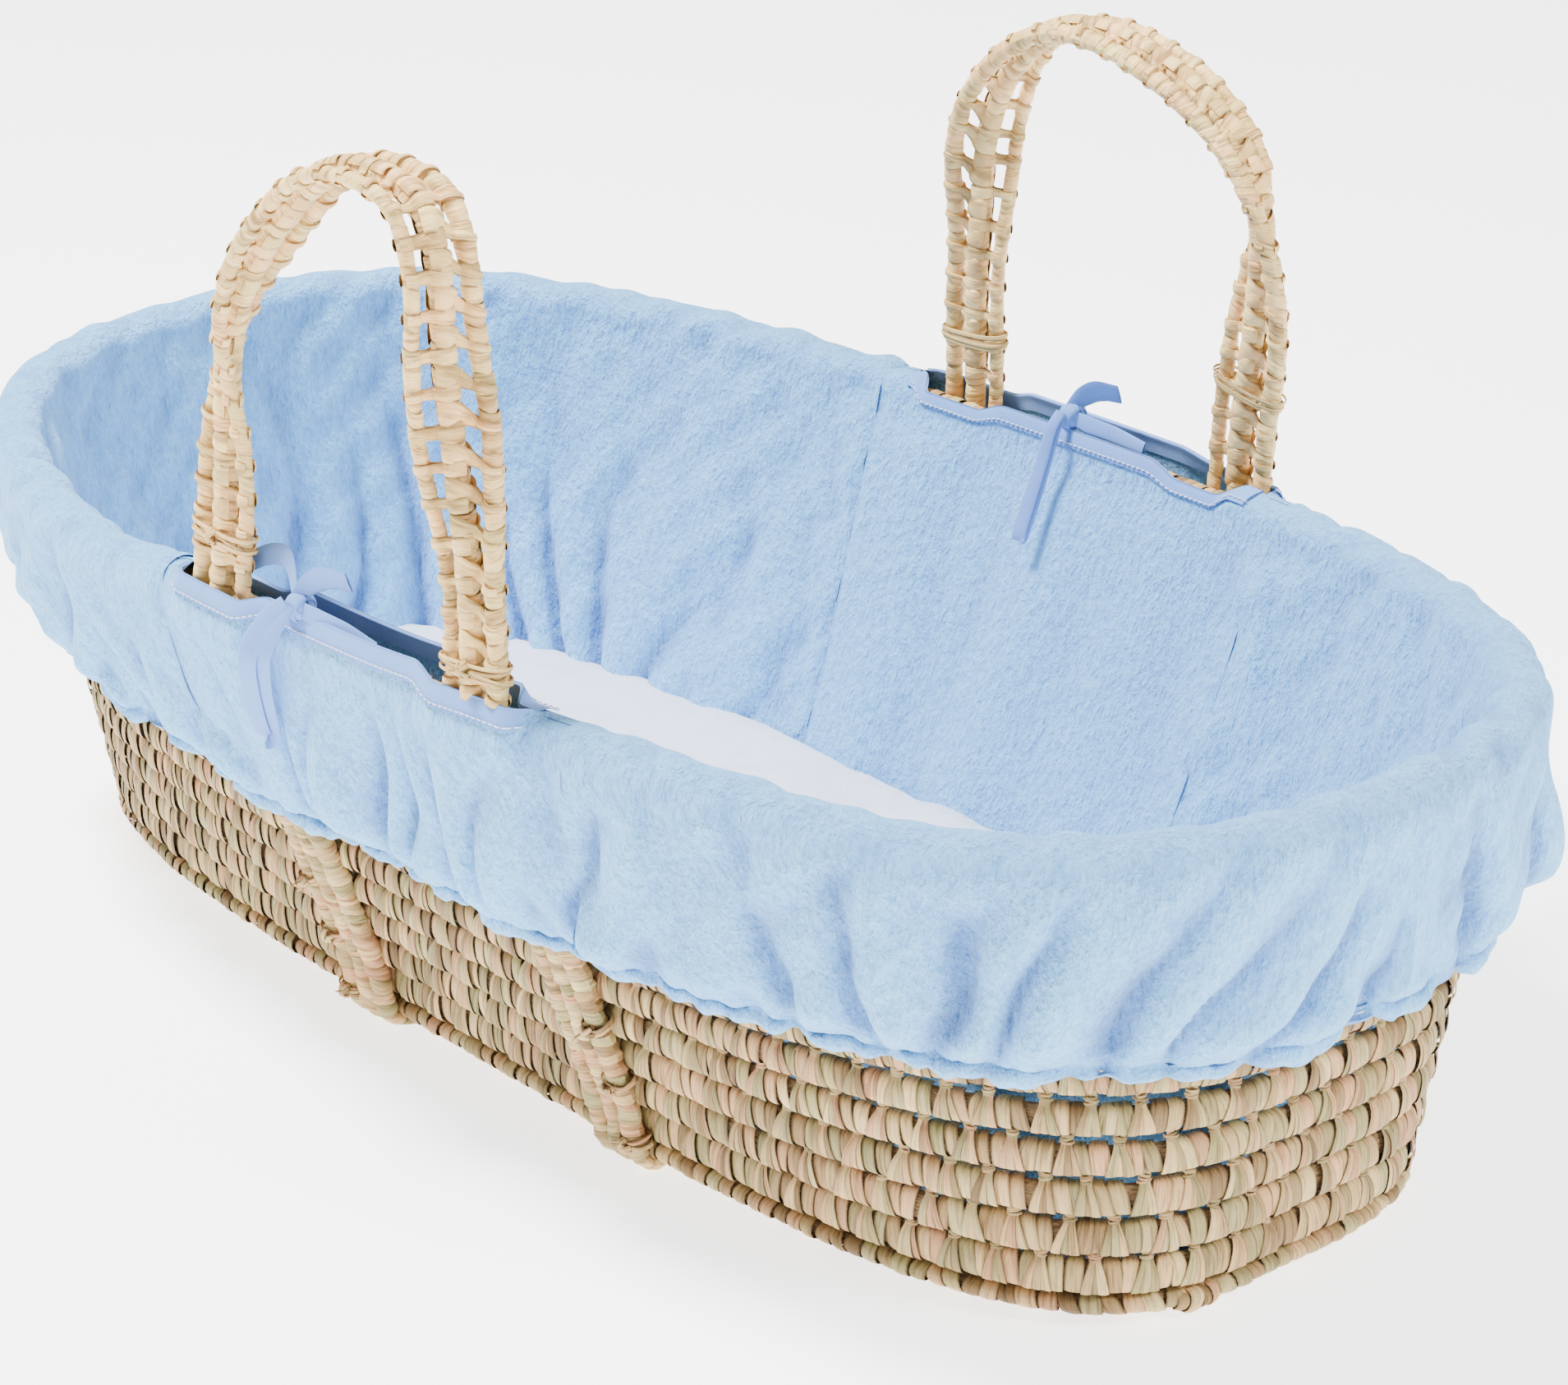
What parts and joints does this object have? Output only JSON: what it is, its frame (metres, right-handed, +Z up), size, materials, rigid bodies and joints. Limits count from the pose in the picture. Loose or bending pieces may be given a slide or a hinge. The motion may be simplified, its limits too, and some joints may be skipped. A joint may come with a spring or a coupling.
{
  "type": "moses basket",
  "caption": "Oval coiled palm-leaf baby basket with two flat strap handles, a gathered fleece liner tied with bows, and a flat mattress.",
  "frame": {"origin": "on the floor under the middle of the basket", "axes": "+X along the basket's length towards its foot end, +Y across it towards the far handle, +Z up"},
  "size_m": [0.8746, 0.4948, 0.4614],
  "materials": {
    "palm_weave": "matt dried palm leaf wraps over coiled bundles",
    "palm_handle": "satin dried palm leaf wraps",
    "raffia": "matt raffia fibre",
    "blue_fleece": "short-pile polyester fleece",
    "cotton_binding": "plain cotton bias binding with white topstitching",
    "elastic": "flat braided elastic",
    "mattress_cotton": "plain white jersey",
    "foam": "open-cell foam"
  },
  "bodies": {
    "basket": {"base_centre": "palm_weave", "base_row_1": "palm_weave", "base_row_2": "palm_weave", "base_row_3": "palm_weave", "base_row_4": "palm_weave", "base_row_5": "palm_weave", "base_row_6": "palm_weave", "base_row_7": "palm_weave", "far_bow_knot": "cotton_binding", "far_bow_loop": "cotton_binding", "far_bow_tail": "cotton_binding", "far_inner_binding": "cotton_binding", "far_outer_binding": "cotton_binding", "far_strap_foot": "palm_weave", "far_strap_head": "palm_weave", "hem_elastic": "elastic", "liner_far_panel": "blue_fleece", "liner_floor": "blue_fleece", "liner_foot_panel": "blue_fleece", "liner_head_panel": "blue_fleece", "liner_near_panel": "blue_fleece", "near_bow_knot": "cotton_binding", "near_bow_loop": "cotton_binding", "near_bow_tail": "cotton_binding", "near_inner_binding": "cotton_binding", "near_outer_binding": "cotton_binding", "near_strap_foot": "palm_weave", "near_strap_head": "palm_weave", "rim_coil": "palm_weave", "skirt_far_panel": "blue_fleece", "skirt_near_panel": "blue_fleece", "under_strap_foot": "palm_weave", "under_strap_head": "palm_weave", "wall_row_01": "palm_weave", "wall_row_02": "palm_weave", "wall_row_03": "palm_weave", "wall_row_04": "palm_weave", "wall_row_05": "palm_weave", "wall_row_06": "palm_weave", "wall_row_07": "palm_weave", "wall_row_08": "palm_weave", "wall_row_09": "palm_weave", "wall_row_10": "palm_weave"},
    "near_handle": {"near_handle_lashing_foot": "raffia", "near_handle_lashing_head": "raffia", "near_handle_middle_strand": "palm_handle", "near_handle_narrow_lacing": "palm_handle", "near_handle_thick_strand": "palm_handle", "near_handle_thin_strand": "palm_handle", "near_handle_wide_lacing": "palm_handle"},
    "far_handle": {"far_handle_lashing_foot": "raffia", "far_handle_lashing_head": "raffia", "far_handle_middle_strand": "palm_handle", "far_handle_narrow_lacing": "palm_handle", "far_handle_thick_strand": "palm_handle", "far_handle_thin_strand": "palm_handle", "far_handle_wide_lacing": "palm_handle"},
    "mattress": {"mattress_cover": "mattress_cotton", "mattress_foam": "foam"}
  },
  "joints": [
    {"name": "near_handle_fold", "type": "hinge", "parent": "basket", "child": "near_handle", "pos_m": [0.027, -0.2298, 0.2325], "axis": [1, 0, 0], "range_deg": [-40, 75]},
    {"name": "far_handle_fold", "type": "hinge", "parent": "basket", "child": "far_handle", "pos_m": [0.027, 0.2298, 0.2325], "axis": [-1, 0, 0], "range_deg": [-40, 75]},
    {"name": "mattress_lift", "type": "slide", "parent": "basket", "child": "mattress", "axis": [0, 0, 1], "range_m": [0, 0.5]}
  ]
}
